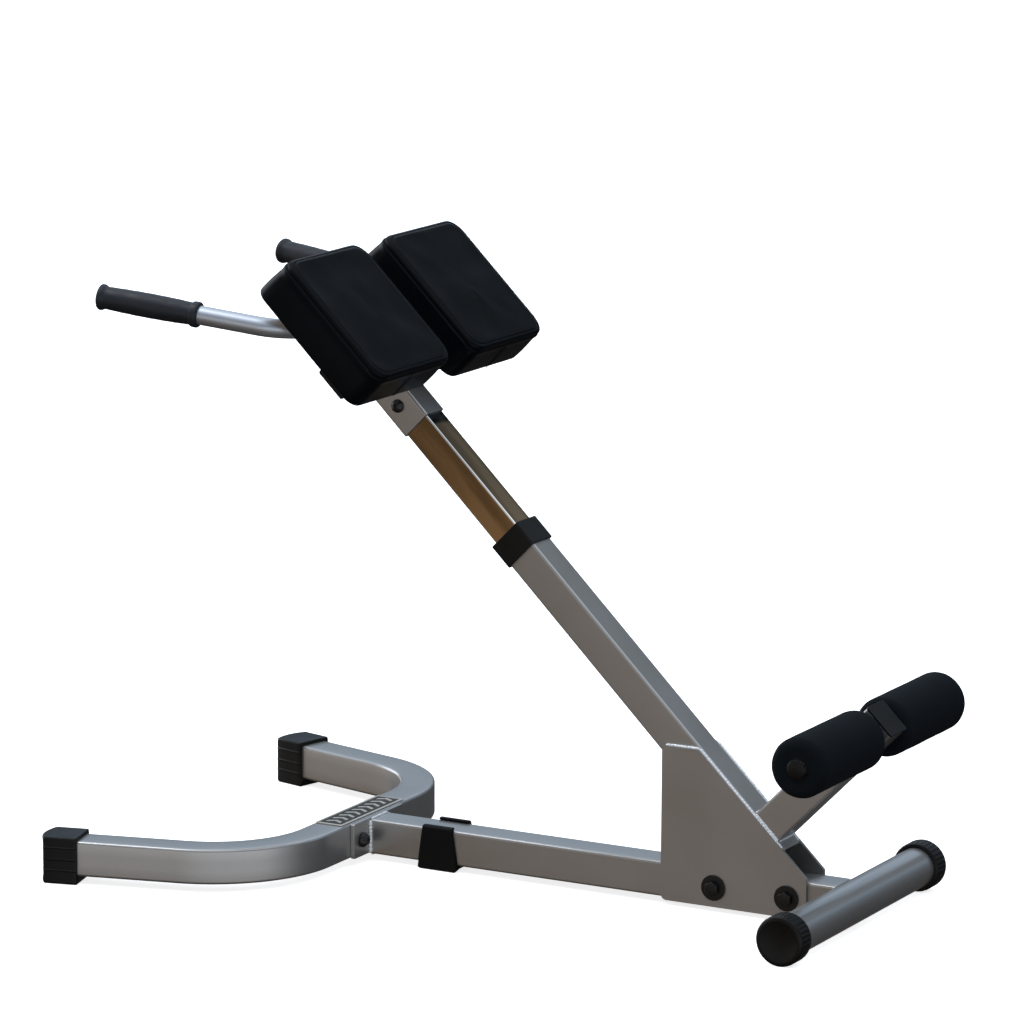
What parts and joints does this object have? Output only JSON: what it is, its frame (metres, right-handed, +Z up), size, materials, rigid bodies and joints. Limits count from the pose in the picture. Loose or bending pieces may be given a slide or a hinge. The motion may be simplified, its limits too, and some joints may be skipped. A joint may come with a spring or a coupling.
{
  "type": "roman chair",
  "caption": "45 degree back-extension bench: floor frame with splayed front legs, height-adjustable twin hip pads with side handles, and foam ankle rollers on a short arm.",
  "frame": {"origin": "on the floor, midway between the left and right sides and midway along the overall length", "axes": "+X from the handles towards the ankle rollers, +Y to the side that carries the pull pin, +Z up"},
  "size_m": [1.1642, 0.7224, 0.8881],
  "materials": {
    "frame_paint": "satin metallic grey powder coat",
    "axle_steel": "plain drawn tube",
    "bar_steel": "bright satin silver",
    "chrome": "mirror chrome",
    "cap_plastic": "moulded black, lightly textured",
    "foot_rubber": "matte black",
    "grip_rubber": "black, slightly glossy",
    "bolt_black": "black oxide",
    "plate_metal": "etched, brushed border",
    "foam": "closed-cell foam, fine matte grain",
    "vinyl": "smooth black vinyl with a soft sheen",
    "board_wood": "plain plywood"
  },
  "bodies": {
    "frame": {"base_tube": "frame_paint", "front_tube": "frame_paint", "front_flange": "frame_paint", "rear_tube": "frame_paint", "gusset_l": "frame_paint", "gusset_r": "frame_paint", "upright": "frame_paint", "roller_arm": "frame_paint", "roller_axle": "axle_steel", "front_cap_l": "cap_plastic", "front_cap_r": "cap_plastic", "rear_cap_l": "cap_plastic", "rear_cap_r": "cap_plastic", "upright_collar": "cap_plastic", "roller_arm_cap": "cap_plastic", "axle_plug_l": "cap_plastic", "axle_plug_r": "cap_plastic", "mid_foot": "foot_rubber", "flange_bolt_l": "bolt_black", "flange_bolt_r": "bolt_black", "flange_nut_l": "bolt_black", "flange_nut_r": "bolt_black", "gusset_bolt_a": "bolt_black", "gusset_bolt_b": "bolt_black", "gusset_nut_a": "bolt_black", "gusset_nut_b": "bolt_black", "gusset_washer_a_l": "bolt_black", "gusset_washer_a_r": "bolt_black", "gusset_washer_b_l": "bolt_black", "gusset_washer_b_r": "bolt_black", "nameplate": "plate_metal", "pin_housing": "bolt_black", "pin_spring": "chrome"},
    "carriage": {"inner_tube": "chrome", "inner_tube_foot": "cap_plastic", "carriage_sleeve": "frame_paint", "sleeve_plug": "cap_plastic", "carriage_bolt": "bolt_black", "carriage_nut": "bolt_black", "cross_support": "frame_paint", "support_cap_l": "cap_plastic", "support_cap_r": "cap_plastic", "handlebar": "bar_steel", "grip_l": "grip_rubber", "grip_r": "grip_rubber", "pad_l": "vinyl", "pad_r": "vinyl", "pad_board_l": "board_wood", "pad_board_r": "board_wood", "pad_bolt_front_l": "bolt_black", "pad_bolt_front_r": "bolt_black", "pad_bolt_rear_l": "bolt_black", "pad_bolt_rear_r": "bolt_black"},
    "pull_pin": {"pin_plunger": "chrome", "pin_knob": "cap_plastic"},
    "roller_left": {"roller_foam_l": "foam", "roller_core_l": "cap_plastic"},
    "roller_right": {"roller_foam_r": "foam", "roller_core_r": "cap_plastic"}
  },
  "joints": [
    {"name": "height_slide", "type": "slide", "parent": "frame", "child": "carriage", "axis": [-0.7133, 0, 0.7009], "range_m": [-0.16, 0.12]},
    {"name": "pull_pin_slide", "type": "slide", "parent": "frame", "child": "pull_pin", "axis": [0, 1, 0], "range_m": [-0.0055, 0]},
    {"name": "roller_left_spin", "type": "hinge", "parent": "frame", "child": "roller_left", "pos_m": [0.53907, 0, 0.27403], "axis": [0, 1, 0], "continuous": true},
    {"name": "roller_right_spin", "type": "hinge", "parent": "frame", "child": "roller_right", "pos_m": [0.53907, 0, 0.27403], "axis": [0, 1, 0], "continuous": true}
  ]
}
